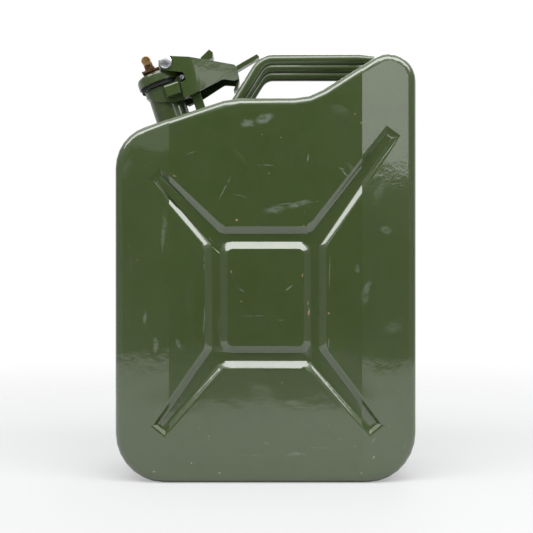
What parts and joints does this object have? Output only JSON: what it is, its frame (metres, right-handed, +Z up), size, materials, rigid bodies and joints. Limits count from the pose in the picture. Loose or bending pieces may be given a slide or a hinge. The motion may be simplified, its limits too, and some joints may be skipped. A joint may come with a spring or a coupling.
{
  "type": "metal fuel can",
  "caption": "Flat pressed steel fuel can with a cross-braced panel on each face, parallel carrying handles and a slanted spout closed by a hinged cap and cam lever.",
  "frame": {"origin": "middle of the flat base, on the floor", "axes": "+Z up, +X along the width from the spout to the raised lobe, +Y from the front face to the rear face"},
  "size_m": [0.337, 0.165, 0.4965],
  "materials": {
    "green_paint": "glossy dark army green enamel, lightly scuffed",
    "zinc_plate": "bright zinc plate",
    "yellow_zinc": "yellow chromated zinc, coppery",
    "black_rubber": "matt black rubber",
    "bare_steel": "plain steel"
  },
  "bodies": {
    "can": {"shell_front": "green_paint", "shell_rear": "green_paint", "seam_weld": "green_paint", "handle_front": "green_paint", "handle_middle": "green_paint", "handle_rear": "green_paint", "neck_tube": "green_paint", "neck_flange": "green_paint", "vent_tube": "bare_steel", "neck_bracket": "green_paint", "catch_lug_front": "green_paint", "catch_lug_rear": "green_paint", "catch_stud_front": "zinc_plate", "catch_stud_rear": "zinc_plate", "hinge_pin": "zinc_plate"},
    "lid": {"cap": "green_paint", "cap_gasket": "black_rubber", "gasket_retainer": "bare_steel", "cap_bracket": "green_paint", "lever_rivet_front": "zinc_plate", "lever_rivet_rear": "zinc_plate", "pin_strip": "yellow_zinc"},
    "lever": {"lever_frame": "green_paint", "thumb_tab": "green_paint"},
    "locking_pin": {"lock_pin": "yellow_zinc"}
  },
  "joints": [
    {"name": "lid_hinge", "type": "hinge", "parent": "can", "child": "lid", "pos_m": [-0.08673, 0, 0.45686], "axis": [0, 1, 0], "range_deg": [0, 95]},
    {"name": "lever_pivot", "type": "hinge", "parent": "lid", "child": "lever", "pos_m": [-0.11666, 0, 0.47865], "axis": [0, -1, 0], "range_deg": [0, 133]},
    {"name": "lock_pin_slide", "type": "slide", "parent": "lid", "child": "locking_pin", "axis": [0, -1, 0], "range_m": [0, 0.05]}
  ],
  "couplings": [
    {"joint": "lever_pivot", "follows": "lid_hinge", "ratio": 1.4}
  ]
}
